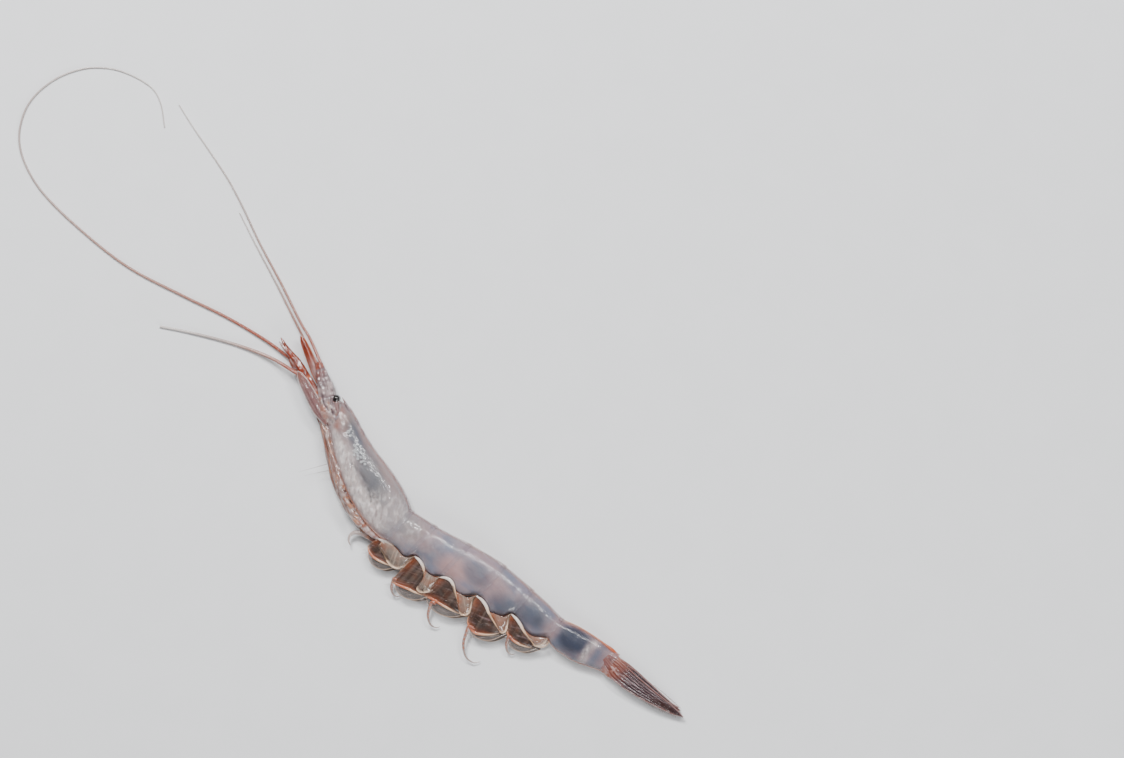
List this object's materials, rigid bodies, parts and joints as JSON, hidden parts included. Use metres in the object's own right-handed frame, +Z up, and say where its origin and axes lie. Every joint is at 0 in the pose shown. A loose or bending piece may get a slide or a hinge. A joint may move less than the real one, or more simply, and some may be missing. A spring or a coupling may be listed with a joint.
{
  "type": "raw glass shrimp",
  "caption": "Whole raw glass shrimp lying on its flank, with translucent segmented body, folded tail fan, swimming legs and long thin whiskers.",
  "frame": {"origin": "centre of the footprint of the whole shrimp with its whiskers, on the surface that its flank rests on", "axes": "+X towards the tail, +Y towards the back, +Z up out of the flank that shows"},
  "size_m": [0.1146, 0.027, 0.0043],
  "materials": {
    "raw_flesh": "wet, milky translucent raw shrimp flesh under a clear shell, with peach and orange-red edges",
    "whisker": "thin horny whisker, red-brown at its root and silvery pink towards its tip"
  },
  "bodies": {
    "root": {"shrimp_body": "raw_flesh", "antenna_long": "whisker", "antenna_short": "whisker", "antennule_outer": "whisker", "antennule_inner": "whisker"}
  },
  "joints": []
}
